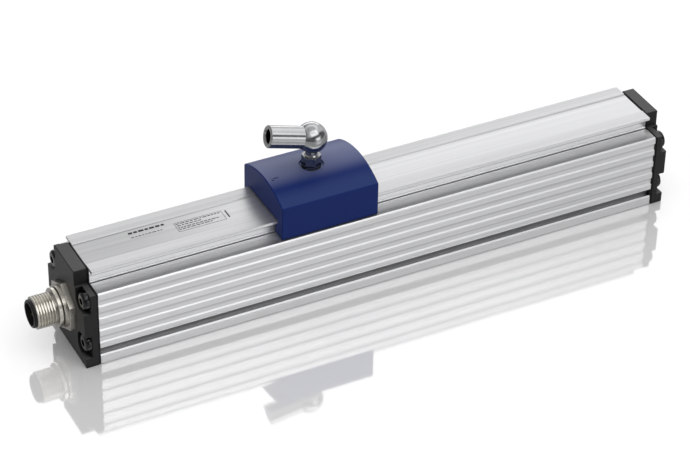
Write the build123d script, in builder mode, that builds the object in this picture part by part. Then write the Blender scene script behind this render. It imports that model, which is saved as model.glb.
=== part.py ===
"""Linear potentiometer: closed aluminium profile, guide rail slider, ball joint and M12 connector.

Millimetres. The part lies along X with the connector at -X, and +Z is up.
The origin is the middle of the profile's base face.
"""
from build123d import *
from math import cos, radians, sin, sqrt
import os

# Housing profile
profile_length = 225.0
profile_width = 34.0
shoulder_height = 30.5
web_height = 4.9
web_width = 18.6
rail_width = 23.8
lip_thickness = 1.1
strip_recess_width = 12.3
strip_recess_depth = 0.35
base_strip_height = 4.15
slot_height = 3.05
slot_depth = 2.4
slot_undercut = 0.9
slot_lip = 0.6
rib_count = 5
rib_land = 2.6
rib_depth = 0.45
land_slope = 0.5
foot_bead = 0.35
foot_groove = 0.5
base_edge_radius = 0.4

# Hollow inside the profile
floor_thickness = 3.4
shoulder_wall = 3.1
channel_wall = 1.3
rail_side_wall = 2.4
rail_top_wall = 1.95

# End caps, gaskets and their screws
cap_overhang = 5.5
gasket_thickness = 0.8
gasket_inset = 0.25
flange_thickness = 2.1
cap_drop = 0.2
neck_width = 17.4
cap_edge_radius = 0.35
cap_outer_edge_radius = 0.25
screw_edge_distance = 3.6
upper_screw_drop = 3.7
lower_screw_rise = 8.7
screw_core_diameter = 3.4
screw_head_diameter = 6.8
screw_head_height = 2.15
screw_head_radius = 1.2
screw_grip = 10.0
screw_socket_width = 2.5
screw_socket_depth = 1.3
pocket_clearance = 0.35
lower_pocket_floor = 4.0
lower_pocket_height = 9.2

# M12 connector
connector_height = 16.7
thread_diameter = 12.0
thread_pitch = 1.0
thread_depth = 0.6
thread_turns = 7
thread_flat_depth = 0.3
thread_flat_angle = 135.0
connector_groove = 0.5
collar_diameter = 14.4
collar_width = 1.5
collar_chamfer = 0.2
boss_diameter = 15.4
boss_width = 1.2
hex_across_flats = 17.0
hex_thickness = 2.1
hex_turn = 34.0
hex_skirt = 0.2
shell_bore = 9.4
insert_lip_diameter = 10.4
insert_lip_length = 1.2
insert_chamfer = 0.3
insert_tail = 0.6
plug_bore = 8.5
plug_depth = 8.5
key_width = 0.9
key_height = 0.55
pin_count = 5
pin_diameter = 1.0
pin_circle = 5.0
pin_recess = 1.5
pin_tail = 0.5
spigot_diameter = 11.0
spigot_length = 3.2
lock_nut_across_flats = 14.0
lock_nut_thickness = 2.4
seal_section = 1.0
seal_squeeze = 0.2
seal_edge = 1.5

# Potentiometer element and its wiring
board_thickness = 1.6
board_groove_depth = 0.7
board_rise = 1.6
board_end_gap = 7.5
track_width = 4.0
track_spacing = 10.0
track_thickness = 0.1
track_margin = 10.0
terminal_board_thickness = 1.6
terminal_board_margin = 1.9
terminal_board_height = 17.0
terminal_board_setback = 4.6
wire_diameter = 0.9
wire_spacing = 4.5
wire_drop = 4.6
wire_reach = 3.2

# Wiper carriage and its guide
rod_diameter = 3.0
rod_height = 15.0
rod_holder_thickness = 4.0
rod_holder_setback = 11.5
carriage_length = 34.0
carriage_thickness = 8.0
carriage_neck_length = 28.0
bush_diameter = 5.0
bush_length = 6.0
bush_cover = 0.8
wiper_width = 3.0
wiper_thickness = 0.25
wiper_foot = 4.0
wiper_reach = 9.0
wiper_tip = 1.5

# Slider
slider_length = 38.0
slider_width = 31.8
slider_rest_x = -23.1
slider_side_height = 12.9
slider_crown = 4.4
slider_edge_radius = 0.8
slider_end_chamfer = 0.3
shoulder_gap = 0.4
rail_gap = 0.35
glide_width = 2.6
glide_thickness = 0.5
glide_stand_off = 0.1
glide_end_margin = 2.5
magnet_length = 10.0
magnet_width = 9.0
magnet_thickness = 3.2
magnet_spacing = 18.0
mark_length = 2.4
mark_width = 0.35
mark_relief = 0.15
mark_drop = 0.85
mark_inset = 3.5
mark_offset = 2.5

# Ball joint
ball_height = 59.35
ball_diameter = 8.0
stud_thread_diameter = 5.0
stud_thread_length = 5.6
stud_hex_across_flats = 6.2
stud_hex_height = 4.8
stud_neck_diameter = 4.4
stud_cone_height = 0.6
spot_face_diameter = 9.0
spot_face_depth = 0.8
stud_insert_diameter = 7.2
socket_diameter = 11.5
socket_reach = 17.0
shank_diameter = 8.2
shank_tilt = 13.4
shank_heading = 6.2
shank_chamfer = 0.3
rod_thread_diameter = 5.0
rod_thread_depth = 9.5
rod_thread_chamfer = 0.45
mouth_depth = 3.8
ring_wire_diameter = 0.7
ring_drop = 1.9
ring_gap_angle = 40.0

# Clearances
running = 0.05
seat = 0.05
air = 0.3
ball_clearance = 0.06
carriage_side_gap = 0.3
wiper_lift = 0.2

# Places worked out from the sizes above
half_length = profile_length / 2
half_width = profile_width / 2
rail_underside = shoulder_height + web_height
rail_top = rail_underside + lip_thickness
strip_top = rail_top - strip_recess_depth
slot_top = base_strip_height + slot_height
rib_pitch = (shoulder_height - slot_top - rib_land) / (rib_count - 1)
screw_y = half_width - screw_edge_distance
screw_radius = screw_core_diameter / 2
upper_screw_z = shoulder_height - upper_screw_drop
lower_screw_z = lower_screw_rise
cavity_half_width = screw_y - screw_radius - channel_wall
cavity_ceiling = shoulder_height - shoulder_wall
channel_half_width = web_width / 2 - rail_side_wall
channel_ceiling = strip_top - rail_top_wall
board_bottom = floor_thickness + board_rise
board_top = board_bottom + board_thickness
board_half_width = cavity_half_width + board_groove_depth - seat
board_length = profile_length - 2 * board_end_gap
track_length = board_length - 2 * track_margin
track_top = board_top + track_thickness
cap_top = rail_top - cap_drop
cap_thickness = cap_overhang - gasket_thickness
shoulder_level = shoulder_height - cap_drop
pocket_radius = screw_head_diameter / 2 + pocket_clearance
rod_y = cavity_half_width - carriage_side_gap - bush_cover - bush_diameter / 2
ball_centre = (slider_rest_x, 0, ball_height)


def save(builder, label):
    """Label a finished piece and write it to its own STEP file."""
    builder.part.label = label
    export_step(builder.part, f"parts/{label}.step")


def end_plane(side, distance=0.0, height=0.0):
    """Plane at a profile end, facing outwards: local x is across, local y is up."""
    return Plane(
        origin=(side * (half_length + distance), 0, height), x_dir=(0, side, 0), z_dir=(side, 0, 0)
    )


def across_plane(x, height=0.0):
    """Plane across the part at x: local x is +Y, local y is +Z, and it faces +X."""
    return Plane(origin=(x, 0, height), x_dir=(0, 1, 0), z_dir=(1, 0, 0))


os.makedirs("parts", exist_ok=True)


# Housing profile: right half of its section, ribs from the top down, then mirrored
def profile_outline():
    """Half section from the middle of the base round to the middle of the rail."""
    undercut_y = half_width - slot_depth
    lip_y = half_width - slot_lip
    points = [
        (0, 0),
        (half_width, 0),
        (half_width, base_strip_height - land_slope),
        (half_width - rib_depth, base_strip_height),
        (lip_y, base_strip_height),
        (lip_y, base_strip_height - slot_undercut),
        (undercut_y, base_strip_height - slot_undercut),
        (undercut_y, slot_top),
        (half_width, slot_top),
    ]
    for rib in range(rib_count - 1):
        land_top = slot_top + rib * rib_pitch + rib_land
        next_land = slot_top + (rib + 1) * rib_pitch
        points += [
            (half_width, land_top - land_slope),
            (half_width - rib_depth, land_top),
            (half_width - rib_depth, next_land),
            (half_width, next_land),
        ]
    bead_y = web_width / 2 + foot_bead
    groove_y = bead_y + foot_groove
    points += [
        (half_width, shoulder_height - land_slope),
        (half_width - rib_depth, shoulder_height),
        (groove_y, shoulder_height),
        (groove_y, shoulder_height - foot_bead),
        (bead_y, shoulder_height - foot_bead),
        (bead_y, shoulder_height + foot_bead),
        (web_width / 2, shoulder_height + foot_bead),
        (web_width / 2, rail_underside),
        (rail_width / 2, rail_underside),
        (rail_width / 2, rail_top),
        (strip_recess_width / 2 + strip_recess_depth, rail_top),
        (strip_recess_width / 2, strip_top),
        (0, strip_top),
    ]
    return points


with BuildPart() as profile_housing:
    with BuildSketch(across_plane(-half_length)):
        with BuildLine():
            Polyline(*profile_outline(), close=True)
        make_face()
        mirror(about=Plane.YZ)
        with Locations((0, (floor_thickness + cavity_ceiling) / 2)):
            Rectangle(2 * cavity_half_width, cavity_ceiling - floor_thickness, mode=Mode.SUBTRACT)
        with Locations((0, (floor_thickness + channel_ceiling) / 2)):
            Rectangle(2 * channel_half_width, channel_ceiling - floor_thickness, mode=Mode.SUBTRACT)
        with Locations((0, (board_bottom + board_top) / 2)):
            Rectangle(
                2 * (board_half_width + seat), board_thickness + 2 * seat, mode=Mode.SUBTRACT
            )
        with Locations(
            (screw_y, upper_screw_z), (-screw_y, upper_screw_z),
            (screw_y, lower_screw_z), (-screw_y, lower_screw_z),
        ):
            Circle(screw_radius, mode=Mode.SUBTRACT)
    extrude(amount=profile_length)
    base_edges = profile_housing.edges().filter_by(Axis.X).group_by(Axis.Z)[0]
    fillet(base_edges, radius=base_edge_radius)
save(profile_housing, "profile_housing")


# End caps, gaskets and screws, the same at both ends
def end_outline_half(inset=0.0):
    """Half of the inverted T outline of a cap or gasket, drawn in by an inset."""
    return [
        (0, inset),
        (half_width - inset, inset),
        (half_width - inset, shoulder_level - inset),
        (neck_width / 2 - inset, shoulder_level - inset),
        (neck_width / 2 - inset, cap_top - inset),
        (0, cap_top - inset),
    ]


screw_places = [
    (side_y * screw_y, height)
    for side_y in (-1, 1)
    for height in (lower_screw_z, upper_screw_z)
]
lower_pocket_top = lower_pocket_floor + lower_pocket_height
outside = half_width + 1


def pocket_sketch(side_y):
    """Both screw pockets of one side, open to that side, the upper one open upwards too."""
    span = outside - screw_y
    with Locations((side_y * (screw_y + span / 2), lower_pocket_floor + lower_pocket_height / 2)):
        Rectangle(span, lower_pocket_height)
    inner_height = lower_pocket_height - 2 * pocket_radius
    with Locations((side_y * (screw_y - pocket_radius / 2), lower_pocket_floor + lower_pocket_height / 2)):
        Rectangle(pocket_radius, inner_height)
    with Locations(
        (side_y * screw_y, lower_pocket_floor + pocket_radius),
        (side_y * screw_y, lower_pocket_top - pocket_radius),
        (side_y * screw_y, upper_screw_z),
    ):
        Circle(pocket_radius)
    upper_reach = shoulder_height + 1 - upper_screw_z
    with Locations((side_y * (screw_y - pocket_radius + outside) / 2, upper_screw_z + upper_reach / 2)):
        Rectangle(outside - screw_y + pocket_radius, upper_reach)
    with Locations((side_y * (screw_y + span / 2), upper_screw_z - pocket_radius / 2)):
        Rectangle(span, pocket_radius)


for end_name, side in (("connector_end", -1), ("blind_end", 1)):
    with BuildPart() as end_cap:
        with BuildSketch(end_plane(side, gasket_thickness)):
            with BuildLine():
                Polyline(*end_outline_half(), close=True)
            make_face()
            mirror(about=Plane.YZ)
        extrude(amount=cap_thickness)
        long_edges = end_cap.edges().filter_by(Axis.X)
        fillet(long_edges, radius=cap_edge_radius)
        outer_face = end_cap.faces().filter_by(Axis.X).sort_by(Axis.X)[-1 if side > 0 else 0]
        fillet(outer_face.edges(), radius=cap_outer_edge_radius)
        with BuildSketch(end_plane(side, cap_overhang)):
            for side_y in (-1, 1):
                pocket_sketch(side_y)
        extrude(amount=flange_thickness - cap_thickness, mode=Mode.SUBTRACT)
        with BuildSketch(end_plane(side, cap_overhang)):
            with Locations(*screw_places):
                Circle(screw_radius + seat)
            if side < 0:
                with Locations((0, connector_height)):
                    Circle(spigot_diameter / 2 + seat)
        extrude(amount=-cap_overhang, mode=Mode.SUBTRACT)
    save(end_cap, f"{end_name}_cap")

    with BuildPart() as end_gasket:
        with BuildSketch(end_plane(side)):
            with BuildLine():
                Polyline(*end_outline_half(gasket_inset), close=True)
            make_face()
            mirror(about=Plane.YZ)
            with Locations((0, (floor_thickness + cavity_ceiling) / 2)):
                Rectangle(
                    2 * cavity_half_width, cavity_ceiling - floor_thickness, mode=Mode.SUBTRACT
                )
            with Locations(*screw_places):
                Circle(screw_radius + seat, mode=Mode.SUBTRACT)
        extrude(amount=gasket_thickness)
    save(end_gasket, f"{end_name}_gasket")

    with BuildPart() as end_screws:
        seat_distance = gasket_thickness + flange_thickness
        with BuildSketch(end_plane(side, seat_distance)):
            with Locations(*screw_places):
                Circle(screw_head_diameter / 2)
        extrude(amount=screw_head_height)
        crown = end_screws.faces().filter_by(Axis.X).group_by(Axis.X)[-1 if side > 0 else 0]
        fillet(crown.edges(), radius=screw_head_radius)
        with BuildSketch(end_plane(side, seat_distance)):
            with Locations(*screw_places):
                Circle(screw_radius)
        extrude(amount=-(seat_distance + screw_grip))
        with BuildSketch(end_plane(side, seat_distance + screw_head_height)):
            with Locations(*screw_places):
                RegularPolygon(screw_socket_width / sqrt(3), 6)
        extrude(amount=-screw_socket_depth, mode=Mode.SUBTRACT)
    save(end_screws, f"{end_name}_screws")


# M12 connector, turned parts on one axis; local x runs outwards and local y is the radius
connector_axis = Axis((-half_length, 0, connector_height), (-1, 0, 0))
connector_plane = Plane(
    origin=(-half_length, 0, connector_height), x_dir=(-1, 0, 0), z_dir=(0, 1, 0)
)
hex_end = cap_overhang + hex_thickness
boss_end = hex_end + boss_width
collar_start = boss_end + connector_groove / 2
collar_end = collar_start + collar_width
thread_start = collar_end + connector_groove
thread_end = thread_start + thread_turns * thread_pitch
thread_root = thread_diameter / 2 - thread_depth
nut_seat = gasket_thickness
seal_groove = seal_section - seal_squeeze
seal_radius = (hex_across_flats - seal_section) / 2 - seal_edge


def shell_outline():
    """Section of the shell from its inner end to the first thread and round the bore."""
    points = [
        (-spigot_length, shell_bore / 2),
        (-spigot_length, spigot_diameter / 2),
        (cap_overhang, spigot_diameter / 2),
        (cap_overhang, hex_across_flats / 2 - hex_skirt),
        (hex_end, hex_across_flats / 2 - hex_skirt),
        (hex_end, boss_diameter / 2),
        (boss_end, boss_diameter / 2),
        (boss_end, thread_diameter / 2),
        (collar_start, thread_diameter / 2),
        (collar_start, collar_diameter / 2 - collar_chamfer),
        (collar_start + collar_chamfer, collar_diameter / 2),
        (collar_end - collar_chamfer, collar_diameter / 2),
        (collar_end, collar_diameter / 2 - collar_chamfer),
        (collar_end, thread_root),
        (thread_start, thread_root),
    ]
    for turn in range(thread_turns):
        crest = thread_start + (turn + 0.5) * thread_pitch
        points += [
            (crest - thread_pitch / 8, thread_diameter / 2),
            (crest + thread_pitch / 8, thread_diameter / 2),
            (crest + thread_pitch / 2, thread_root),
        ]
    points.append((thread_end, shell_bore / 2))
    return points


with BuildPart() as connector_shell:
    with BuildSketch(connector_plane):
        with BuildLine():
            Polyline(*shell_outline(), close=True)
        make_face()
    revolve(axis=connector_axis)
    with BuildSketch(end_plane(-1, cap_overhang, connector_height)):
        RegularPolygon(hex_across_flats / sqrt(3), 6, rotation=-hex_turn)
        Circle(thread_root, mode=Mode.SUBTRACT)
    extrude(amount=hex_thickness)
    with BuildSketch(end_plane(-1, cap_overhang, connector_height)):
        Circle(seal_radius + seal_section / 2 + seat)
        Circle(seal_radius - seal_section / 2 - seat, mode=Mode.SUBTRACT)
    extrude(amount=seal_groove, mode=Mode.SUBTRACT)
    flat_turn = radians(thread_flat_angle)
    flat_plane = Plane(
        origin=(-half_length - thread_start, 0, connector_height),
        x_dir=(-1, 0, 0),
        z_dir=(0, cos(flat_turn), sin(flat_turn)),
    )
    with BuildSketch(flat_plane.offset(thread_diameter / 2 - thread_flat_depth)):
        with Locations((thread_turns * thread_pitch / 2, 0)):
            Rectangle(thread_turns * thread_pitch, thread_diameter)
    extrude(amount=thread_diameter, mode=Mode.SUBTRACT)
save(connector_shell, "connector_shell")

with BuildPart() as connector_seal:
    with BuildSketch(connector_plane):
        with Locations((cap_overhang + seal_groove / 2, seal_radius)):
            Rectangle(seal_groove, seal_section)
    revolve(axis=connector_axis)
save(connector_seal, "connector_seal")

with BuildPart() as connector_lock_nut:
    with BuildSketch(end_plane(-1, nut_seat, connector_height)):
        RegularPolygon(lock_nut_across_flats / sqrt(3), 6)
        Circle(spigot_diameter / 2 + seat, mode=Mode.SUBTRACT)
    extrude(amount=-lock_nut_thickness)
save(connector_lock_nut, "connector_lock_nut")

insert_end = thread_end + insert_lip_length
plug_floor = insert_end - plug_depth
insert_back = spigot_length + insert_tail
with BuildPart() as connector_insert:
    with BuildSketch(connector_plane):
        with BuildLine():
            Polyline(
                (-insert_back, 0),
                (-insert_back, shell_bore / 2 - seat),
                (thread_end, shell_bore / 2 - seat),
                (thread_end, insert_lip_diameter / 2),
                (insert_end - insert_chamfer, insert_lip_diameter / 2),
                (insert_end, insert_lip_diameter / 2 - insert_chamfer),
                (insert_end, plug_bore / 2),
                (plug_floor, plug_bore / 2),
                (plug_floor, 0),
                close=True,
            )
        make_face()
    revolve(axis=connector_axis)
    with BuildSketch(end_plane(-1, plug_floor, connector_height)):
        Circle(pin_diameter / 2)
        with PolarLocations(pin_circle / 2, pin_count - 1, start_angle=45):
            Circle(pin_diameter / 2)
    extrude(amount=-(plug_floor + insert_back), mode=Mode.SUBTRACT)
    with BuildSketch(end_plane(-1, plug_floor, connector_height)):
        with PolarLocations(plug_bore / 2, 1, start_angle=-thread_flat_angle):
            Rectangle(2 * key_height, key_width)
        Circle((plug_bore + insert_lip_diameter) / 4, mode=Mode.INTERSECT)
    extrude(amount=plug_depth - pin_recess)
save(connector_insert, "connector_insert")

board_face = terminal_board_setback + terminal_board_thickness
terminal_board_width = 2 * (cavity_half_width - terminal_board_margin)
with BuildPart() as connector_pins:
    with BuildSketch(end_plane(-1, insert_end - pin_recess, connector_height)):
        Circle(pin_diameter / 2)
        with PolarLocations(pin_circle / 2, pin_count - 1, start_angle=45):
            Circle(pin_diameter / 2)
    extrude(amount=-(insert_end - pin_recess + board_face + pin_tail))
save(connector_pins, "connector_pins")


# Terminal board on the connector's contacts, and the leads down to the element
with BuildPart() as terminal_board:
    with BuildSketch(end_plane(-1, -terminal_board_setback, connector_height)):
        Rectangle(terminal_board_width, terminal_board_height)
        Circle(pin_diameter / 2 + seat, mode=Mode.SUBTRACT)
        with PolarLocations(pin_circle / 2, pin_count - 1, start_angle=45):
            Circle(pin_diameter / 2 + seat, mode=Mode.SUBTRACT)
    extrude(amount=-terminal_board_thickness)
save(terminal_board, "terminal_board")

wire_start_x = -half_length + board_face
wire_start_z = board_top + wire_drop
with BuildPart() as lead_wires:
    for place in (-1, 0, 1):
        wire_y = place * wire_spacing
        with BuildLine():
            FilletPolyline(
                (wire_start_x, wire_y, wire_start_z),
                (wire_start_x + wire_reach, wire_y, wire_start_z),
                (wire_start_x + wire_reach, wire_y, board_top),
                radius=wire_reach / 2,
            )
        with BuildSketch(across_plane(wire_start_x)):
            with Locations((wire_y, wire_start_z)):
                Circle(wire_diameter / 2)
        sweep()
save(lead_wires, "lead_wires")


# Potentiometer element: board in the profile's grooves, with its two printed tracks
with BuildPart() as element_board:
    with BuildSketch(across_plane(-board_length / 2)):
        with Locations((0, (board_bottom + board_top) / 2)):
            Rectangle(2 * board_half_width, board_thickness)
    extrude(amount=board_length)
save(element_board, "element_board")

for track_name, track_side in (("resistive_track", -1), ("collector_track", 1)):
    with BuildPart() as track:
        with BuildSketch(Plane.XY.offset(board_top)):
            with Locations((0, track_side * track_spacing / 2)):
                Rectangle(track_length, track_width)
        extrude(amount=track_thickness)
    save(track, track_name)


# Guide rods and the holders that carry them
rod_places = [(-rod_y, rod_height), (rod_y, rod_height)]
holder_bottom = board_top + seat
holder_top = cavity_ceiling - seat
for end_name, side in (("connector_end", -1), ("blind_end", 1)):
    with BuildPart() as rod_holder:
        with BuildSketch(end_plane(side, -rod_holder_setback)):
            with Locations((0, (holder_bottom + holder_top) / 2)):
                Rectangle(2 * (cavity_half_width - seat), holder_top - holder_bottom)
            with Locations(*rod_places):
                Circle(rod_diameter / 2 + running / 2, mode=Mode.SUBTRACT)
        extrude(amount=-rod_holder_thickness)
    save(rod_holder, f"{end_name}_rod_holder")

rod_length = profile_length - 2 * rod_holder_setback
with BuildPart() as guide_rods:
    with BuildSketch(across_plane(-rod_length / 2)):
        with Locations(*rod_places):
            Circle(rod_diameter / 2)
    extrude(amount=rod_length)
save(guide_rods, "guide_rods")


# Wiper carriage: block on the rods, with a neck that carries magnets up under the rail
carriage_bottom = rod_height - carriage_thickness / 2
carriage_top = channel_ceiling - air
carriage_start = slider_rest_x - carriage_length / 2
magnet_places = [(slider_rest_x - magnet_spacing / 2, 0), (slider_rest_x + magnet_spacing / 2, 0)]
with BuildPart() as wiper_carriage:
    with BuildSketch(across_plane(carriage_start)):
        with Locations((0, rod_height)):
            Rectangle(2 * (cavity_half_width - carriage_side_gap), carriage_thickness)
        with Locations(*rod_places):
            Circle(bush_diameter / 2, mode=Mode.SUBTRACT)
    extrude(amount=carriage_length)
    with BuildSketch(across_plane(slider_rest_x - carriage_neck_length / 2)):
        neck_foot = rod_height + carriage_thickness / 2
        with Locations((0, (neck_foot + carriage_top) / 2)):
            Rectangle(2 * (channel_half_width - carriage_side_gap), carriage_top - neck_foot)
    extrude(amount=carriage_neck_length)
    with BuildSketch(Plane.XY.offset(carriage_top)):
        with Locations(*magnet_places):
            Rectangle(magnet_length + 2 * seat, magnet_width + 2 * seat)
    extrude(amount=-magnet_thickness, mode=Mode.SUBTRACT)
save(wiper_carriage, "wiper_carriage")

with BuildPart() as carriage_magnets:
    with BuildSketch(Plane.XY.offset(carriage_top - magnet_thickness)):
        with Locations(*magnet_places):
            Rectangle(magnet_length, magnet_width)
    extrude(amount=magnet_thickness)
save(carriage_magnets, "carriage_magnets")

with BuildPart() as carriage_bushes:
    for bush_start in (carriage_start, carriage_start + carriage_length - bush_length):
        with BuildSketch(across_plane(bush_start)):
            with Locations(*rod_places):
                Circle(bush_diameter / 2)
                Circle(rod_diameter / 2 + running, mode=Mode.SUBTRACT)
        extrude(amount=bush_length)
save(carriage_bushes, "carriage_bushes")

# Wiper springs: a foot under the carriage, an arm down to the track, and a turned-up tip
with BuildPart() as wiper_springs:
    for track_side in (-1, 1):
        wiper_y = track_side * track_spacing / 2
        wiper_plane = Plane(
            origin=(slider_rest_x, wiper_y + wiper_width / 2, 0), x_dir=(1, 0, 0), z_dir=(0, -1, 0)
        )
        contact_z = track_top + wiper_lift
        with BuildSketch(wiper_plane):
            with BuildLine():
                Polyline(
                    (-wiper_foot, carriage_bottom),
                    (0, carriage_bottom),
                    (wiper_reach, contact_z + wiper_thickness),
                    (wiper_reach + wiper_tip, contact_z + wiper_tip / 2 + wiper_thickness),
                    (wiper_reach + wiper_tip, contact_z + wiper_tip / 2),
                    (wiper_reach, contact_z),
                    (0, carriage_bottom - wiper_thickness),
                    (-wiper_foot, carriage_bottom - wiper_thickness),
                    close=True,
                )
            make_face()
        extrude(amount=wiper_width)
save(wiper_springs, "wiper_springs")


# Slider: arched block that wraps round the rail and hooks under its lips
slider_bottom = shoulder_height + shoulder_gap
slider_edge_z = slider_bottom + slider_side_height
slider_crest = slider_edge_z + slider_crown
slider_start = slider_rest_x - slider_length / 2
channel_roof = rail_top + rail_gap
hook_top = rail_underside - rail_gap
hook_half_gap = web_width / 2 + foot_bead + rail_gap
channel_half = rail_width / 2 + rail_gap
glide_y = (strip_recess_width / 2 + strip_recess_depth + rail_width / 2) / 2
glide_length = slider_length - 2 * glide_end_margin
glide_roof = channel_roof + glide_thickness - glide_stand_off
hook_glide_y = (hook_half_gap + channel_half) / 2
hook_glide_width = channel_half - hook_half_gap - 4 * seat
hook_glide_floor = hook_top - glide_thickness + glide_stand_off
glide_centres = [(slider_rest_x, side_y * glide_y) for side_y in (-1, 1)]
hook_glide_centres = [(slider_rest_x, side_y * hook_glide_y) for side_y in (-1, 1)]
spot_floor = slider_crest - spot_face_depth
insert_bottom = spot_floor - stud_thread_length
magnet_roof = channel_roof + magnet_thickness + seat

with BuildPart() as slider_body:
    with BuildSketch(across_plane(slider_start)):
        with BuildLine():
            Polyline(
                (slider_width / 2, slider_edge_z),
                (slider_width / 2, slider_bottom),
                (-slider_width / 2, slider_bottom),
                (-slider_width / 2, slider_edge_z),
            )
            ThreePointArc(
                (-slider_width / 2, slider_edge_z), (0, slider_crest), (slider_width / 2, slider_edge_z)
            )
        make_face()
        with Locations((0, (slider_bottom + hook_top) / 2)):
            Rectangle(2 * hook_half_gap, hook_top - slider_bottom, mode=Mode.SUBTRACT)
        with Locations((0, (hook_top + channel_roof) / 2)):
            Rectangle(2 * channel_half, channel_roof - hook_top, mode=Mode.SUBTRACT)
    extrude(amount=slider_length)
    arch_edges = slider_body.edges().filter_by(Axis.X).group_by(Axis.Z)[-1]
    fillet(arch_edges, radius=slider_edge_radius)
    end_faces = slider_body.faces().filter_by(Axis.X)
    end_edges = end_faces.edges().filter_by(lambda edge: edge.center().Z > channel_roof + air)
    chamfer(end_edges, length=slider_end_chamfer)
    with BuildSketch(Plane.XY.offset(slider_crest + 1)):
        with Locations((slider_rest_x, 0)):
            Circle(spot_face_diameter / 2)
    extrude(amount=-(1 + spot_face_depth), mode=Mode.SUBTRACT)
    with BuildSketch(Plane.XY.offset(spot_floor)):
        with Locations((slider_rest_x, 0)):
            Circle(stud_insert_diameter / 2)
    extrude(amount=-stud_thread_length, mode=Mode.SUBTRACT)
    with BuildSketch(Plane.XY.offset(channel_roof)):
        with Locations(*magnet_places):
            Rectangle(magnet_length + 2 * seat, magnet_width + 2 * seat)
    extrude(amount=magnet_roof - channel_roof, mode=Mode.SUBTRACT)
    with BuildSketch(Plane.XY.offset(channel_roof)):
        with Locations(*glide_centres):
            Rectangle(glide_length + 2 * seat, glide_width + 2 * seat)
    extrude(amount=glide_roof - channel_roof, mode=Mode.SUBTRACT)
    with BuildSketch(Plane.XY.offset(hook_top)):
        with Locations(*hook_glide_centres):
            Rectangle(glide_length + 2 * seat, hook_glide_width + 2 * seat)
    extrude(amount=hook_glide_floor - hook_top, mode=Mode.SUBTRACT)
    mark_x = slider_start + mark_inset
    with BuildSketch(Plane.XY.offset(slider_crest - mark_drop - mark_relief)):
        with Locations((mark_x, -mark_offset)):
            Rectangle(mark_length, mark_width)
        with Locations((mark_x - mark_length / 2, -mark_offset - mark_length / 4)):
            Rectangle(mark_width, mark_length / 2)
    extrude(amount=mark_drop + 2 * mark_relief)
save(slider_body, "slider_body")

with BuildPart() as slider_glides:
    with BuildSketch(Plane.XY.offset(glide_roof)):
        with Locations(*glide_centres):
            Rectangle(glide_length, glide_width)
    extrude(amount=-glide_thickness)
    with BuildSketch(Plane.XY.offset(hook_glide_floor)):
        with Locations(*hook_glide_centres):
            Rectangle(glide_length, hook_glide_width)
    extrude(amount=glide_thickness)
save(slider_glides, "slider_glides")

with BuildPart() as slider_magnets:
    with BuildSketch(Plane.XY.offset(magnet_roof)):
        with Locations(*magnet_places):
            Rectangle(magnet_length, magnet_width)
    extrude(amount=-magnet_thickness)
save(slider_magnets, "slider_magnets")

with BuildPart() as stud_insert:
    with BuildSketch(Plane.XY.offset(insert_bottom)):
        with Locations((slider_rest_x, 0)):
            Circle(stud_insert_diameter / 2)
            Circle(stud_thread_diameter / 2 + seat, mode=Mode.SUBTRACT)
    extrude(amount=stud_thread_length)
save(stud_insert, "stud_insert")


# Ball stud: thread, hex, neck and ball on one upright axis
stud_axis = Axis((slider_rest_x, 0, 0), (0, 0, 1))
stud_plane = Plane(origin=(slider_rest_x, 0, 0), x_dir=(1, 0, 0), z_dir=(0, -1, 0))
hex_top = spot_floor + stud_hex_height
ball_radius = ball_diameter / 2
neck_radius = stud_neck_diameter / 2
neck_meets_ball = ball_height - sqrt(ball_radius**2 - neck_radius**2)
with BuildPart() as ball_stud:
    with BuildSketch(stud_plane):
        with BuildLine():
            Polyline(
                (0, neck_meets_ball),
                (0, insert_bottom),
                (stud_thread_diameter / 2, insert_bottom),
                (stud_thread_diameter / 2, hex_top),
                (neck_radius, hex_top + stud_cone_height),
                (neck_radius, neck_meets_ball),
                close=True,
            )
        make_face()
    revolve(axis=stud_axis)
    with Locations(ball_centre):
        Sphere(ball_radius)
    with BuildSketch(Plane.XY.offset(spot_floor)):
        with Locations((slider_rest_x, 0)):
            RegularPolygon(stud_hex_across_flats / sqrt(3), 6, rotation=30)
    extrude(amount=stud_hex_height)
save(ball_stud, "ball_stud")


# Ball socket: its mouth axis is square to the shank, which points to the connector end and up
tilt = radians(shank_tilt)
heading = radians(shank_heading)
shank_direction = (-cos(tilt) * cos(heading), cos(tilt) * sin(heading), sin(tilt))
mouth_direction = (sin(tilt) * cos(heading), -sin(tilt) * sin(heading), cos(tilt))
socket_plane = Plane(origin=ball_centre, x_dir=shank_direction, z_dir=mouth_direction)
socket_radius = socket_diameter / 2
bowl_radius = ball_radius + ball_clearance
ring_radius = sqrt((ball_radius + ring_wire_diameter / 2 + running) ** 2 - ring_drop**2)
groove_radius = ring_radius + ring_wire_diameter / 2 + 2 * running
groove_half = ring_wire_diameter / 2 + running
ring_top = -ring_drop + groove_half
ring_bottom = -ring_drop - groove_half

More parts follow.
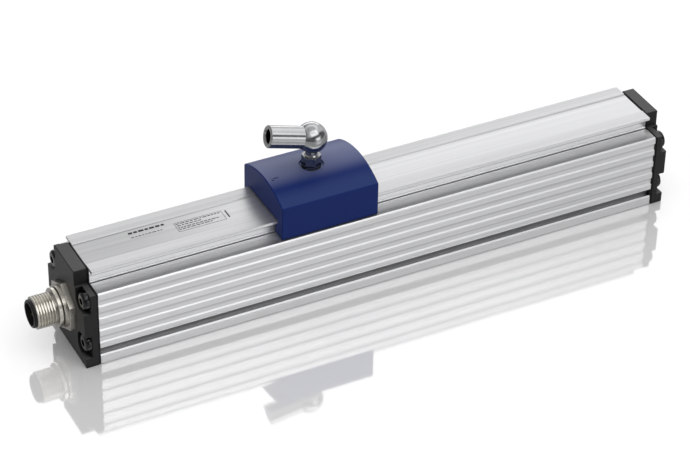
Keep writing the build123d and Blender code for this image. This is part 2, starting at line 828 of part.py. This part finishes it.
with BuildPart() as ball_socket:
    Sphere(socket_radius)
    with BuildSketch(Plane.YZ):
        Circle(shank_diameter / 2)
    extrude(amount=socket_reach)
    shank_end = ball_socket.faces().sort_by(Axis.X)[-1]
    chamfer(shank_end.edges(), length=shank_chamfer)
    with BuildSketch(Plane.YZ.offset(socket_reach)):
        Circle(rod_thread_diameter / 2)
    extrude(amount=-rod_thread_depth, mode=Mode.SUBTRACT)
    bore_rim = ball_socket.faces().sort_by(Axis.X)[-1].edges().sort_by(SortBy.RADIUS)[0]
    chamfer(bore_rim, length=rod_thread_chamfer)
    with BuildSketch(Plane.XY.offset(-mouth_depth)):
        Circle(socket_radius)
    extrude(amount=-socket_radius, mode=Mode.SUBTRACT)
    with BuildSketch(Plane.XZ):
        with BuildLine():
            Line((0, bowl_radius), (0, -mouth_depth))
            Polyline(
                (0, -mouth_depth),
                (bowl_radius, -mouth_depth),
                (bowl_radius, ring_bottom),
                (groove_radius, ring_bottom),
                (groove_radius, ring_top),
                (bowl_radius, ring_top),
                (bowl_radius, 0),
            )
            RadiusArc((bowl_radius, 0), (0, bowl_radius), -bowl_radius)
        make_face()
    revolve(axis=Axis.Z, mode=Mode.SUBTRACT)
ball_socket.part.location = socket_plane.location
save(ball_socket, "ball_socket")

with BuildPart() as ball_retaining_ring:
    with BuildSketch(Plane.XZ):
        with Locations((ring_radius, -ring_drop)):
            Circle(ring_wire_diameter / 2)
    revolve(axis=Axis.Z, revolution_arc=360 - ring_gap_angle)
ball_retaining_ring.part.location = socket_plane.location
save(ball_retaining_ring, "ball_retaining_ring")
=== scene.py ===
"""Looks of the linear potentiometer: materials, printed marks, floor, light and camera.

Lengths are in metres, and in millimetres where a comment says so.
"""
import random
from math import cos, radians, sin

import bpy
from mathutils import Matrix, Vector


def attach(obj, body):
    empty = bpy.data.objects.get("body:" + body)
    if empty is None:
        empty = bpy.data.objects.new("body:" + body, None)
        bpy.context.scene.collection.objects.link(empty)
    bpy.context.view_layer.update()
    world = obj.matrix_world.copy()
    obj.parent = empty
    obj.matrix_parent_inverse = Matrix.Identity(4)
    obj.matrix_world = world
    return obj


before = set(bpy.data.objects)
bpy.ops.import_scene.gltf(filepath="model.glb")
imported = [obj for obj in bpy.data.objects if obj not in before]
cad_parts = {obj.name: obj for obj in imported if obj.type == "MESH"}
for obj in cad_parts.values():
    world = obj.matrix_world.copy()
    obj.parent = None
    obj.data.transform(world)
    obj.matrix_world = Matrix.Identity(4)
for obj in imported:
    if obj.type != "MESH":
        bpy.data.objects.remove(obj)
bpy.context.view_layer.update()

# Camera, recovered from the long edges of the profile
CAMERA_PLACE = Vector((-0.36412, -0.68208, 0.56848))
CAMERA_AZIMUTH = radians(-27.50)
CAMERA_ELEVATION = radians(35.65)
CAMERA_ROLL = radians(1.177)
CAMERA_LENS = 135.43
SENSOR_WIDTH = 36.0
CLIP_START = 0.01
CLIP_END = 20

# Heights of the profile: top of the side slot, distance from one rib to the next, shoulder
SLOT_TOP = 0.0072
RIB_PITCH = 0.005175
SHOULDER_HEIGHT = 0.0305
# Shade under each rib, as a share of the pitch, and its distance from the middle plane
RECESS_SHADE = (0.66, 0.92)
RECESS_DISTANCE = (0.0164, 0.0168)
RECESS_CHANGE = -0.33

# Bands of painted light and shade on the profile: distance from the middle plane, height, change of
# tone
ANYWHERE = (-1.0, 1.0)
RAIL_TOP = (0.0360, 0.0370)
# Painted shade in the side slot and the foot groove; painted light on the web, lip edge and ribbed
# side
BANDS = (
    ((0.0140, 0.0163), (0.0010, SLOT_TOP + 0.0001), -0.18),  # back of the side slot
    (ANYWHERE, (0.0310, 0.0353), 0.32),                      # web under the rail
    ((0.0118, 0.0130), (0.0353, 0.0364), 0.45),              # edge of the rail's lip
    ((0.0164, 1.0), ANYWHERE, 0.27),                         # ribbed side
    ((0.00955, 0.01018), (0.0300, 0.03055), -1.1),           # groove at the foot of the web
)
# Shoulder: painted reflection, lighter towards the web
SHOULDER_BAND = (0.0300, 0.0310)
SHOULDER_RISE = (0.0160, 0.0125)
SHOULDER_GAIN = 1.08
SHOULDER_BASE = -0.28
SHOULDER_END = 0.0164
# Borders of the rail's top: darker, a little lighter on the near side, with painted light rising
# towards +X;
# painted shade on the middle strip towards -X and on the step on the far side of the rail's top
BORDER_DISTANCE = (0.0063, 0.0130)
BORDER_HEIGHT = (0.0362, 0.0370)
BORDER_CHANGE = -0.17
BORDER_SLOPE = 0.3
NEAR_BORDER_CHANGE = 0.045
MIDDLE_DISTANCE = (0.0, 0.0062)
MIDDLE_RISE = (-0.10, -0.03)
MIDDLE_CHANGE = 0.31
FAR_STEP = (0.0058, 0.0064)
FAR_STEP_CHANGE = -0.30
# Painted shade: a thin band under the lip and a dark line along the foot
LIP_SHADE_RISE = (0.0328, 0.0331)
LIP_SHADE_FALL = (0.0339, 0.0336)
LIP_SHADE_CHANGE = -0.4
FOOT_RISE = (0.0010, 0.0002)
FOOT_CHANGE = -0.50

# Satin anodised finish: noise scales along each axis, depth of the streaks, edge radius
SATIN_METALLIC = 0.85
SATIN_TONES = (0.47, 0.473, 0.48), (0.66, 0.663, 0.67)
SATIN_ROUGHNESS = (0.26, 0.35)
SATIN_TONE_SCALE = (6.0, 900.0, 900.0)
SATIN_STREAK_SCALE = (12.0, 2600.0, 2600.0)
SATIN_STREAK_DEPTH = 0.00002
SATIN_EDGE = 0.00015

# Moulded finish: noise scales, depth of the grain, how open a pocket is and its painted shade
MOULDED_PATCH_SCALE = (60.0, 60.0, 60.0)
MOULDED_GRAIN_SCALE = (9000.0, 9000.0, 9000.0)
MOULDED_GRAIN_DEPTH = 0.00003
POCKET_OPENNESS = (0.35, 0.85)
POCKET_PAINTED_SHADE = (0.2, 1.0)

# Turned finish: noise scales, depth of the lines, edge radius, where the rim darkens with a painted
# dark reflection
TURNED_PATCH_SCALE = (350.0, 350.0, 350.0)
TURNED_LINE_SCALE = (5000.0, 1200.0, 1200.0)
TURNED_LINE_DEPTH = 0.00001
TURNED_EDGE = 0.0001
RIM_BLEND = 0.5
RIM_RANGE = (0.35, 0.95)

# Printed marks on the rail, in millimetres: frame and line as left, right, near and far side
RAIL_STRIP_TOP = 36.15
PRINT_TOP = 36.17
DATA_FRAME = (-75.6, -57.3, -2.6, 2.9)
FRAME_LINE = 0.16
START_LINE = (-56.15, -55.65, -1.9, 2.5)
# left, right, place across the rail, height of the dashes, shortest, longest, gap
DASH_ROWS = (
    (-92.4, -77.4, 4.0, 1.0, 1.2, 2.6, 0.38),
    (-92.3, -80.4, 1.35, 0.4, 0.7, 1.8, 0.35),
    (-75.1, -58.0, 2.05, 0.4, 0.7, 1.8, 0.35),
    (-75.1, -65.5, 1.0, 0.4, 0.7, 1.8, 0.35),
    (-75.1, -59.5, -0.3, 0.4, 0.7, 1.8, 0.35),
    (-75.1, -61.5, -1.3, 0.4, 0.7, 1.8, 0.35),
)
# Seed of the dashes' lengths, cut corners as a share of a mark's smaller side, and the ink
DASH_SEED = 7
CORNER_CUT = 0.2
PRINT_TONES = (0.012, 0.012, 0.013), (0.022, 0.022, 0.023)
PRINT_ROUGHNESS = (0.5, 0.6)

# Painted sheen on the end caps and the slider where they face a direction: direction, start, full,
# colour
CAP_PAINTED_SHEENS = (
    ((0, 0.1, 0.995), 0.905, 1.0, (0.046, 0.046, 0.046)),
    ((-1, 0, 0), 0.90, 1.0, (0.006, 0.0058, 0.0052)),
)
SLIDER_PAINTED_SHEENS = (
    ((0, 0.1, 0.995), 0.925, 1.0, (0.095, 0.10, 0.11)),
    ((0, -0.5, 0.866), 0.97, 1.0, (0.012, 0.018, 0.024)),
)

# Moulded looks: darkest colour, palest colour, roughness, further settings
MOULDED_LOOKS = {
    "cap_look": (
        (0.014, 0.0142, 0.0145), (0.019, 0.0192, 0.0195), (0.42, 0.52),
        {"rounded": 0.0004, "painted_sheens": CAP_PAINTED_SHEENS, "deep": 0.0025},
    ),
    "gasket_look": ((0.008, 0.008, 0.008), (0.014, 0.014, 0.014), (0.6, 0.7), {}),
    "insert_look": ((0.008, 0.008, 0.008), (0.014, 0.014, 0.014), (0.35, 0.45), {}),
    "slider_look": (
        (0.0035, 0.0155, 0.110), (0.0045, 0.0185, 0.126), (0.42, 0.50),
        {"gloss": 0.12, "painted_sheens": SLIDER_PAINTED_SHEENS},
    ),
    "acetal_look": ((0.74, 0.73, 0.69), (0.80, 0.79, 0.75), (0.4, 0.5), {}),
    "holder_look": ((0.02, 0.02, 0.022), (0.03, 0.03, 0.032), (0.4, 0.5), {}),
    "solder_resist_look": ((0.01, 0.08, 0.03), (0.015, 0.10, 0.04), (0.3, 0.4), {}),
    "laminate_look": ((0.16, 0.09, 0.04), (0.21, 0.12, 0.05), (0.35, 0.5), {}),
    "carbon_track_look": ((0.008, 0.008, 0.008), (0.012, 0.012, 0.012), (0.3, 0.4), {}),
    "wire_look": ((0.45, 0.03, 0.02), (0.50, 0.04, 0.03), (0.35, 0.45), {}),
}
# Metal looks: darkest colour, palest colour, roughness, painted dark reflection at the rim
METAL_LOOKS = {
    "black_screw_look": ((0.028, 0.028, 0.03), (0.045, 0.045, 0.047), (0.14, 0.22), 0.0),
    "nickel_look": ((0.52, 0.495, 0.445), (0.60, 0.575, 0.52), (0.24, 0.34), 0.6),
    "gold_look": ((0.80, 0.58, 0.25), (0.86, 0.65, 0.30), (0.2, 0.3), 0.0),
    "bright_zinc_look": ((0.34, 0.345, 0.35), (0.40, 0.405, 0.41), (0.14, 0.21), 0.72),
    "magnet_look": ((0.30, 0.30, 0.32), (0.38, 0.38, 0.40), (0.25, 0.35), 0.0),
    "brass_look": ((0.62, 0.43, 0.16), (0.70, 0.50, 0.20), (0.28, 0.38), 0.0),
    "ground_steel_look": ((0.58, 0.58, 0.60), (0.64, 0.64, 0.66), (0.18, 0.28), 0.0),
    "bronze_look": ((0.42, 0.26, 0.12), (0.50, 0.32, 0.16), (0.4, 0.5), 0.0),
    "silver_track_look": ((0.60, 0.60, 0.60), (0.68, 0.68, 0.68), (0.35, 0.45), 0.0),
}
# Which nodes of the part wear which look
NODE_LOOKS = {
    "anodised_aluminium_look": ("profile_housing",),
    "cap_look": ("connector_end_cap", "blind_end_cap"),
    "gasket_look": ("connector_end_gasket", "blind_end_gasket", "connector_seal"),
    "black_screw_look": ("connector_end_screws", "blind_end_screws", "stud_insert"),
    "nickel_look": ("connector_shell", "connector_lock_nut"),
    "insert_look": ("connector_insert",),
    "gold_look": ("connector_pins",),
    "solder_resist_look": ("terminal_board",),
    "wire_look": ("lead_wires",),
    "laminate_look": ("element_board",),
    "carbon_track_look": ("resistive_track",),
    "silver_track_look": ("collector_track",),
    "holder_look": ("connector_end_rod_holder", "blind_end_rod_holder"),
    "ground_steel_look": ("guide_rods", "ball_retaining_ring"),
    "acetal_look": ("wiper_carriage", "slider_glides"),
    "bronze_look": ("carriage_bushes",),
    "magnet_look": ("carriage_magnets", "slider_magnets"),
    "brass_look": ("wiper_springs",),
    "slider_look": ("slider_body",),
    "bright_zinc_look": ("ball_stud", "ball_socket"),
}

# Floor
FLOOR_SIZE = 6
FLOOR_DROP = 0.00002
FLOOR_TONE = (0.82, 0.82, 0.824)
FLOOR_GLOSS = 0.40
POLISH_FADE = (0.10, 1.10)
POLISH_ROUGHNESS = (0.05, 0.45)

# Studio as reflections see it: direction, start, full
FRONT_WALL = ((-0.46, -0.89, 0), 0.70, 0.92)
RIGHT_WALL = ((0.94, -0.33, 0), 0.80, 0.95)
BELOW_CEILING = ((0, 0, -1), -0.72, -0.5)
LEFT_TO_RIGHT = ((0.89, -0.46, 0), -0.62, -0.1)
CEILING = ((0, 0, 1), 0.80, 0.92)
LOW_BAND_START = ((0, 0, 1), 0.30, 0.42)
LOW_BAND_END = ((0, 0, 1), 0.60, 0.67)
LOW_FRONT = ((0.46, -0.89, 0), 0.50, 0.65)
# Light levels
WORLD_LEVEL = 0.54
ROOM_LEVEL = 0.16
LEFT_LEVEL = 0.35
RIGHT_GAIN = 0.80
CEILING_DIM = 0.9
LOW_FRONT_DIM = 0.85
# Lamps: place, size, power
LAMP_TARGET = Vector((0, 0, 0.02))
SOFTBOXES = {
    "back_softbox": ((0.45, 1.15, 0.40), (1.3, 0.30), 3.0),
    "top_softbox": ((0.05, 0.20, 1.15), (1.6, 1.4), 5.0),
    "front_softbox": ((0.10, -0.62, 1.15), (1.3, 0.9), 4.3),
    "low_strip": ((0.47, -1.15, 0.36), (0.6, 0.25), 0.5),
}


def add_camera():
    """Camera at the photograph's angle, with its small roll."""
    back = Vector((
        sin(CAMERA_AZIMUTH) * cos(CAMERA_ELEVATION),
        -cos(CAMERA_AZIMUTH) * cos(CAMERA_ELEVATION),
        sin(CAMERA_ELEVATION),
    ))
    level = Vector((0, 0, 1)).cross(back).normalized()
    upright = back.cross(level)
    right = cos(CAMERA_ROLL) * level + sin(CAMERA_ROLL) * upright
    up = cos(CAMERA_ROLL) * upright - sin(CAMERA_ROLL) * level
    turn = Matrix((right, up, back)).transposed().to_4x4()
    data = bpy.data.cameras.new("camera")
    data.lens = CAMERA_LENS
    data.sensor_fit = "HORIZONTAL"
    data.sensor_width = SENSOR_WIDTH
    data.clip_start = CLIP_START
    data.clip_end = CLIP_END
    camera = bpy.data.objects.new("camera", data)
    camera.matrix_world = Matrix.Translation(CAMERA_PLACE) @ turn
    bpy.context.scene.collection.objects.link(camera)
    bpy.context.scene.camera = camera


class Tree:
    """Short ways to add nodes to a node tree."""

    def __init__(self, tree):
        self.tree = tree

    def node(self, kind, **settings):
        """New node with its settings."""
        made = self.tree.nodes.new(kind)
        for key, value in settings.items():
            setattr(made, key, value)
        return made

    def link(self, source, target):
        """Join an output to an input."""
        self.tree.links.new(source, target)

    def math(self, operation, first, second=0.0):
        """Math node on two sockets or numbers."""
        made = self.node("ShaderNodeMath", operation=operation)
        for socket, value in zip(made.inputs, (first, second)):
            if isinstance(value, (int, float)):
                socket.default_value = value
            else:
                self.link(value, socket)
        return made.outputs["Value"]

    def times(self, *values):
        """Product of sockets or numbers."""
        product = values[0]
        for value in values[1:]:
            product = self.math("MULTIPLY", product, value)
        return product

    def step(self, value, low, high):
        """Smooth step from 0 at low to 1 at high."""
        made = self.node("ShaderNodeMapRange", interpolation_type="SMOOTHSTEP")
        made.inputs["From Min"].default_value = low
        made.inputs["From Max"].default_value = high
        self.link(value, made.inputs["Value"])
        return made.outputs["Result"]

    def towards(self, direction, axis, low, high):
        """0 to 1 as a direction turns towards an axis."""
        dot = self.node("ShaderNodeVectorMath", operation="DOT_PRODUCT")
        self.link(direction, dot.inputs[0])
        dot.inputs[1].default_value = axis
        return self.step(dot.outputs["Value"], low, high)


class Shader(Tree):
    """A node material with one principled shader."""

    def __init__(self, name):
        self.material = bpy.data.materials.new(name)
        self.material.use_nodes = True
        super().__init__(self.material.node_tree)
        self.principled = self.tree.nodes["Principled BSDF"]
        self.output = self.tree.nodes["Material Output"]
        coordinates = self.node("ShaderNodeTexCoord")
        self.place = coordinates.outputs["Object"]
        self.normal = coordinates.outputs["Normal"]

    def noise(self, scale, detail=2.0, roughness=0.5):
        """Noise over object coordinates scaled by a factor for each axis."""
        mapping = self.node("ShaderNodeMapping")
        mapping.inputs["Scale"].default_value = scale
        self.link(self.place, mapping.inputs["Vector"])
        noise = self.node("ShaderNodeTexNoise")
        noise.inputs["Scale"].default_value = 1.0
        noise.inputs["Detail"].default_value = detail
        noise.inputs["Roughness"].default_value = roughness
        self.link(mapping.outputs["Vector"], noise.inputs["Vector"])
        return noise.outputs["Fac"]

    def spread(self, value, low, high):
        """Map a 0 to 1 value to low to high."""
        made = self.node("ShaderNodeMapRange")
        made.inputs["To Min"].default_value = low
        made.inputs["To Max"].default_value = high
        self.link(value, made.inputs["Value"])
        return made.outputs["Result"]

    def mix_colours(self, factor, first, second):
        """Mix of two colours by a factor."""
        made = self.node("ShaderNodeMix", data_type="RGBA")
        self.link(factor, made.inputs["Factor"])
        made.inputs["A"].default_value = (*first, 1)
        made.inputs["B"].default_value = (*second, 1)
        return made.outputs["Result"]

    def add_colours(self, first, second):
        """Sum of two colours."""
        made = self.node("ShaderNodeMix", data_type="RGBA", blend_type="ADD")
        made.inputs["Factor"].default_value = 1.0
        self.link(first, made.inputs["A"])
        self.link(second, made.inputs["B"])
        return made.outputs["Result"]

    def scale_colour(self, colour, factor):
        """Colour times a factor."""
        made = self.node("ShaderNodeVectorMath", operation="SCALE")
        self.link(colour, made.inputs[0])
        self.link(factor, made.inputs["Scale"])
        return made.outputs["Vector"]

    def window(self, value, low, high):
        """1 between low and high, 0 outside."""
        above = self.math("GREATER_THAN", value, low)
        return self.times(above, self.math("LESS_THAN", value, high))

    def bump(self, height, distance, strength, rounded):
        """Bump from a height, over rounded edges."""
        made = self.node("ShaderNodeBump")
        made.inputs["Distance"].default_value = distance
        made.inputs["Strength"].default_value = strength
        self.link(height, made.inputs["Height"])
        bevel = self.node("ShaderNodeBevel", samples=8)
        bevel.inputs["Radius"].default_value = rounded
        self.link(bevel.outputs["Normal"], made.inputs["Normal"])
        self.link(made.outputs["Normal"], self.principled.inputs["Normal"])


def profile_shade(s):
    """Painted light and shade on the profile by place: shade in the slot and recesses, light on the
    web and lip.
    """
    split = s.node("ShaderNodeSeparateXYZ")
    s.link(s.place, split.inputs["Vector"])
    along, side, height = split.outputs["X"], split.outputs["Y"], split.outputs["Z"]
    across = s.math("ABSOLUTE", side)
    parts = [
        (s.times(s.window(across, *distance), s.window(height, *heights)), change)
        for distance, heights, change in BANDS
    ]

    phase = s.math("DIVIDE", s.math("SUBTRACT", height, SLOT_TOP), RIB_PITCH)
    recess = s.times(
        s.step(s.math("FRACT", phase), *RECESS_SHADE),
        s.window(across, *RECESS_DISTANCE),
        s.window(height, SLOT_TOP, SHOULDER_HEIGHT),
    )
    gain = s.math("ADD", s.times(s.step(across, *SHOULDER_RISE), SHOULDER_GAIN), SHOULDER_BASE)
    inside = s.math("LESS_THAN", across, SHOULDER_END)
    shoulder = s.times(gain, s.window(height, *SHOULDER_BAND), inside)
    border = s.times(s.window(across, *BORDER_DISTANCE), s.window(height, *BORDER_HEIGHT))
    near_border = s.times(border, s.math("LESS_THAN", side, 0.0))
    rise = s.math("SUBTRACT", s.step(along, *MIDDLE_RISE), 1.0)
    middle = s.times(s.window(across, *MIDDLE_DISTANCE), s.window(height, *RAIL_TOP), rise)
    far_step = s.times(s.window(side, *FAR_STEP), s.window(height, *RAIL_TOP))
    under_lip = s.times(s.step(height, *LIP_SHADE_RISE), s.step(height, *LIP_SHADE_FALL))
    foot = s.step(height, *FOOT_RISE)
    parts += [
        (recess, RECESS_CHANGE),
        (shoulder, 1.0),
        (border, BORDER_CHANGE),
        (s.times(border, along), BORDER_SLOPE),
        (near_border, NEAR_BORDER_CHANGE),
        (middle, MIDDLE_CHANGE),
        (far_step, FAR_STEP_CHANGE),
        (under_lip, LIP_SHADE_CHANGE),
        (foot, FOOT_CHANGE),
    ]
    shade = 1.0
    for part, change in parts:
        shade = s.math("ADD", shade, s.times(part, change))
    return shade


def anodised_aluminium(name):
    """Satin anodised extrusion: fine lines along the profile, slight tone changes, painted light
    and shade by place.
    """
    s = Shader(name)
    s.principled.inputs["Metallic"].default_value = SATIN_METALLIC
    tone = s.noise(SATIN_TONE_SCALE, detail=3.0)
    colour = s.mix_colours(tone, *SATIN_TONES)
    s.link(s.scale_colour(colour, profile_shade(s)), s.principled.inputs["Base Color"])
    streak = s.noise(SATIN_STREAK_SCALE, detail=4.0, roughness=0.6)
    s.link(s.spread(streak, *SATIN_ROUGHNESS), s.principled.inputs["Roughness"])
    s.bump(streak, SATIN_STREAK_DEPTH, strength=0.5, rounded=SATIN_EDGE)
    return s.material


def moulded(name, low, high, rough, rounded=0.0002, gloss=0.15, painted_sheens=(), deep=0.0):
    """Moulded plastic or rubber with a fine grain, and if asked a painted sheen and painted shade
    in pockets.
    """
    s = Shader(name)
    patch = s.noise(MOULDED_PATCH_SCALE)
    colour = s.mix_colours(patch, low, high)
    # Painted sheen, paler where the surface faces each direction
    for axis, start, full, sheen_colour in painted_sheens:
        painted_sheen = s.mix_colours(s.towards(s.normal, axis, start, full), (0, 0, 0), sheen_colour)
        colour = s.add_colours(colour, painted_sheen)
    # Painted shade in pockets and creases, from ambient occlusion
    if deep:
        pocket = s.node("ShaderNodeAmbientOcclusion", samples=8)
        pocket.inputs["Distance"].default_value = deep
        openness = s.step(pocket.outputs["AO"], *POCKET_OPENNESS)
        colour = s.scale_colour(colour, s.spread(openness, *POCKET_PAINTED_SHADE))
    s.link(colour, s.principled.inputs["Base Color"])
    s.link(s.spread(patch, *rough), s.principled.inputs["Roughness"])
    s.principled.inputs["Specular IOR Level"].default_value = gloss
    s.bump(s.noise(MOULDED_GRAIN_SCALE), MOULDED_GRAIN_DEPTH, strength=0.4, rounded=rounded)
    return s.material


def turned_metal(name, low, high, rough, rim_painted_reflection):
    """Plated or turned metal with faint lines and tone changes, and a painted dark reflection at
    the rim if asked.
    """
    s = Shader(name)
    s.principled.inputs["Metallic"].default_value = 1.0
    patch = s.noise(TURNED_PATCH_SCALE, detail=3.0)
    colour = s.mix_colours(patch, low, high)
    if rim_painted_reflection:
        # Painted dark reflection, darker towards the rim
        edge = s.node("ShaderNodeLayerWeight")
        edge.inputs["Blend"].default_value = RIM_BLEND
        near_rim = s.step(edge.outputs["Facing"], *RIM_RANGE)
        colour = s.scale_colour(colour, s.math("SUBTRACT", 1.0, s.times(near_rim, rim_painted_reflection)))
    s.link(colour, s.principled.inputs["Base Color"])
    lines = s.noise(TURNED_LINE_SCALE)
    s.link(s.spread(lines, *rough), s.principled.inputs["Roughness"])
    s.bump(lines, TURNED_LINE_DEPTH, strength=0.3, rounded=TURNED_EDGE)
    return s.material


def dress_nodes():
    """Give every CAD node its procedural material."""
    made = {}
    for name, (low, high, rough, further) in MOULDED_LOOKS.items():
        made[name] = moulded(name, low, high, rough, **further)
    for name, (low, high, rough, rim_painted_reflection) in METAL_LOOKS.items():
        made[name] = turned_metal(name, low, high, rough, rim_painted_reflection)
    made["anodised_aluminium_look"] = anodised_aluminium("anodised_aluminium_look")
    for look, nodes in NODE_LOOKS.items():
        for node in nodes:
            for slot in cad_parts[node].material_slots:
                slot.material = made[look]


def mark_dashes():
    """Plain dashes in rows, as (left, height, width, line height) in millimetres."""
    draws = random.Random(DASH_SEED)
    for left, right, y, tall, short, long, gap in DASH_ROWS:
        x = left
        while x < right - short:
            wide = min(draws.uniform(short, long), right - x)
            yield x, y, wide, tall
            x += wide + gap


def add_marks():
    """Generic printed marks on the rail: a name field, a framed data field and a start line."""
    fields = [(x, x + wide, y - tall / 2, y + tall / 2) for x, y, wide, tall in mark_dashes()]
    left, right, low, high = DATA_FRAME
    fields += [
        (left, right, low, low + FRAME_LINE),
        (left, right, high - FRAME_LINE, high),
        (left, left + FRAME_LINE, low + FRAME_LINE, high - FRAME_LINE),
        (right - FRAME_LINE, right, low + FRAME_LINE, high - FRAME_LINE),
        START_LINE,
    ]
    points, faces = [], []
    for x0, x1, y0, y1 in fields:
        cut = min(x1 - x0, y1 - y0) * CORNER_CUT
        outline = [
            (x0 + cut, y0), (x1 - cut, y0), (x1, y0 + cut), (x1, y1 - cut),
            (x1 - cut, y1), (x0 + cut, y1), (x0, y1 - cut), (x0, y0 + cut),
        ]
        first, sides = len(points), len(outline)
        top = first + sides
        points += [
            (x / 1000, y / 1000, z / 1000)
            for z in (RAIL_STRIP_TOP, PRINT_TOP) for x, y in outline
        ]
        faces.append(tuple(reversed(range(first, top))))
        faces.append(tuple(range(top, top + sides)))
        for side in range(sides):
            after = (side + 1) % sides
            faces.append((first + side, first + after, top + after, top + side))
    mesh = bpy.data.meshes.new("rail_marks")
    mesh.from_pydata(points, [], faces)
    marks = bpy.data.objects.new("rail_marks", mesh)
    bpy.context.scene.collection.objects.link(marks)
    mesh.materials.append(moulded("print_look", *PRINT_TONES, PRINT_ROUGHNESS))
    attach(marks, "housing")


def add_floor():
    """Plain white floor with a polished surface that shows a soft image of the part."""
    bpy.ops.mesh.primitive_plane_add(size=FLOOR_SIZE, location=(0, 0, -FLOOR_DROP))
    floor = bpy.context.object
    floor.name = "floor"
    s = Shader("floor_look")
    s.tree.nodes.remove(s.principled)
    matt = s.node("ShaderNodeBsdfDiffuse")
    seen = s.node("ShaderNodeLightPath").outputs["Is Camera Ray"]
    s.link(s.mix_colours(seen, FLOOR_TONE, (1.0, 1.0, 1.0)), matt.inputs["Color"])
    polish = s.node("ShaderNodeBsdfGlossy")
    polish.inputs["Color"].default_value = (1, 1, 1, 1)
    distance = s.node("ShaderNodeVectorMath", operation="LENGTH")
    s.link(s.place, distance.inputs[0])
    fade = s.step(distance.outputs["Value"], *POLISH_FADE)
    s.link(s.spread(fade, *POLISH_ROUGHNESS), polish.inputs["Roughness"])
    both = s.node("ShaderNodeMixShader")
    both.inputs["Fac"].default_value = FLOOR_GLOSS
    s.link(matt.outputs["BSDF"], both.inputs[1])
    s.link(polish.outputs["BSDF"], both.inputs[2])
    s.link(both.outputs["Shader"], s.output.inputs["Surface"])
    floor.data.materials.append(s.material)


def add_world():
    """White studio all round, with the dim side of the room behind the camera in reflections."""
    world = bpy.data.worlds.new("studio")
    bpy.context.scene.world = world
    world.use_nodes = True
    w = Tree(world.node_tree)
    background = w.tree.nodes["Background"]
    background.inputs["Color"].default_value = (1, 1, 1, 1)
    path = w.node("ShaderNodeLightPath")
    direction = w.node("ShaderNodeTexCoord").outputs["Generated"]

    def less(amount):
        """1 minus an amount."""
        return w.math("SUBTRACT", 1.0, amount)

    walls = w.math("MAXIMUM", w.towards(direction, *FRONT_WALL), w.towards(direction, *RIGHT_WALL))
    dim = w.times(walls, w.towards(direction, *BELOW_CEILING), 1.0 - ROOM_LEVEL)
    side = w.math("ADD", LEFT_LEVEL, w.times(w.towards(direction, *LEFT_TO_RIGHT), RIGHT_GAIN))
    upper = w.math("SUBTRACT", side, w.times(w.towards(direction, *CEILING), CEILING_DIM))
    band = w.times(w.towards(direction, *LOW_BAND_START), less(w.towards(direction, *LOW_BAND_END)))
    low_front = w.times(band, w.towards(direction, *LOW_FRONT), LOW_FRONT_DIM)
    room = w.times(less(dim), upper, less(low_front))
    seen = w.math("MAXIMUM", path.outputs["Is Glossy Ray"], path.outputs["Is Transmission Ray"])
    reflected = w.math("ADD", w.times(seen, room), w.times(less(seen), WORLD_LEVEL))
    level = w.math("MAXIMUM", path.outputs["Is Camera Ray"], reflected)
    w.link(level, background.inputs["Strength"])


def add_softbox(name, place, size, power):
    """Rectangular area lamp that faces the middle of the part."""
    data = bpy.data.lights.new(name, "AREA")
    data.shape = "RECTANGLE"
    data.size, data.size_y = size
    data.energy = power
    lamp = bpy.data.objects.new(name, data)
    lamp.location = place
    aim = LAMP_TARGET - Vector(place)
    lamp.rotation_euler = aim.to_track_quat("-Z", "Y").to_euler()
    bpy.context.scene.collection.objects.link(lamp)


add_camera()
dress_nodes()
add_marks()
add_floor()
add_world()
for lamp_name, (place, size, power) in SOFTBOXES.items():
    add_softbox(lamp_name, place, size, power)
bpy.context.scene.view_settings.view_transform = "Standard"
